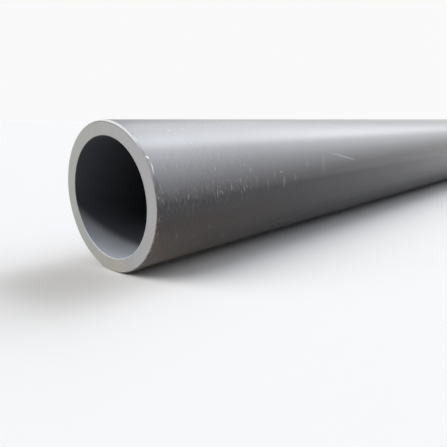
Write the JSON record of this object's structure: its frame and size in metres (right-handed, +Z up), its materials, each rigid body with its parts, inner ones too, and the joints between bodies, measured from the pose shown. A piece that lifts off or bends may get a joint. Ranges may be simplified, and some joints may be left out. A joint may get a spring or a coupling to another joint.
{
  "type": "pvc pipe",
  "caption": "Straight cut length of rigid dark grey PVC pressure pipe with a thick wall, an open bore, and square saw-cut ends whose edges are broken.",
  "frame": {"origin": "centre of the near cut end, on the pipe's axis", "axes": "+X along the pipe, from the near cut end to the far one; +Z up as the pipe lies"},
  "size_m": [1, 0.0604, 0.0602],
  "materials": {
    "grey_pvc": "dark grey extruded plastic, half gloss on the wall, dull and lighter on the saw-cut faces"
  },
  "bodies": {
    "root": {"pipe": "grey_pvc"}
  },
  "joints": []
}
